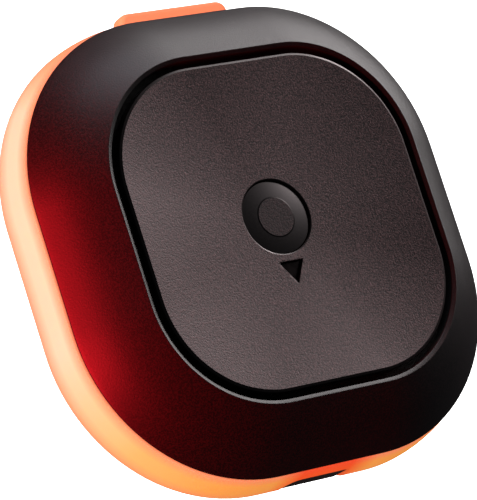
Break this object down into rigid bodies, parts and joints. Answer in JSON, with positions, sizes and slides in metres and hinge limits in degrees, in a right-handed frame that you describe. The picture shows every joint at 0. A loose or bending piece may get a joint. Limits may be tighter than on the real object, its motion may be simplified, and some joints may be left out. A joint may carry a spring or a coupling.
{
  "type": "bluetooth tracker tag",
  "caption": "Rounded-square bluetooth tracker tag with a dished face plate, centre push button, sloping dark cap, orange translucent base with a grip tab, and a removable back cover.",
  "frame": {"origin": "centre of the back face, on the back cover", "axes": "+Z out of the face plate, +Y towards the grip tab, +X completes the frame"},
  "size_m": [0.0396, 0.0406, 0.0106],
  "materials": {
    "cap_shell": "satin, fine moulded grain",
    "face_texture": "charcoal, fine sparkle texture",
    "button": "satin flank, textured island",
    "smoked_lens": "smoked, glossy",
    "glow_orange": "translucent orange, soft satin",
    "cover_plastic": "satin, fine moulded grain",
    "chassis_plastic": "moulded, matt",
    "black_rubber": "matt",
    "foam": "open cell foam",
    "circuit_board": "green solder mask",
    "nickel_steel": "nickel plated",
    "screw_steel": "zinc plated",
    "cell_steel": "brushed stainless",
    "brass": "rolled sheet",
    "ceramic_white": "matt",
    "led_epoxy": "clear yellow epoxy"
  },
  "bodies": {
    "root": {"base_shell": "glow_orange", "battery_chassis": "chassis_plastic", "battery_contact_negative": "brass", "battery_contact_positive": "brass", "capacitor_1": "ceramic_white", "capacitor_2": "ceramic_white", "capacitor_3": "ceramic_white", "case_screw_1": "screw_steel", "case_screw_2": "screw_steel", "case_screw_3": "screw_steel", "case_screw_4": "screw_steel", "cell_can": "cell_steel", "cell_negative_cap": "cell_steel", "chip_antenna": "ceramic_white", "crystal": "nickel_steel", "face_plate": "face_texture", "front_cap": "cap_shell", "glow_led_1": "led_epoxy", "glow_led_2": "led_epoxy", "glow_led_3": "led_epoxy", "glow_led_4": "led_epoxy", "indicator_led": "led_epoxy", "indicator_lens": "smoked_lens", "main_pcb": "circuit_board", "plate_gasket": "black_rubber", "radio_shield": "nickel_steel", "sounder_brass_plate": "brass", "sounder_ceramic_disc": "ceramic_white", "sounder_holder": "chassis_plastic", "tact_switch_body": "nickel_steel"},
    "button": {"button_cap": "button", "tact_switch_plunger": "black_rubber"},
    "cover": {"back_cover": "cover_plastic", "cover_seal": "black_rubber", "foam_pad": "foam"}
  },
  "joints": [
    {"name": "button_press", "type": "slide", "parent": "root", "child": "button", "axis": [0, 0, -1], "range_m": [0, 0.0003], "stiffness_N_per_m": 500},
    {"name": "back_cover_lift", "type": "slide", "parent": "root", "child": "cover", "axis": [0, 0, -1], "range_m": [0, 0.01]}
  ]
}
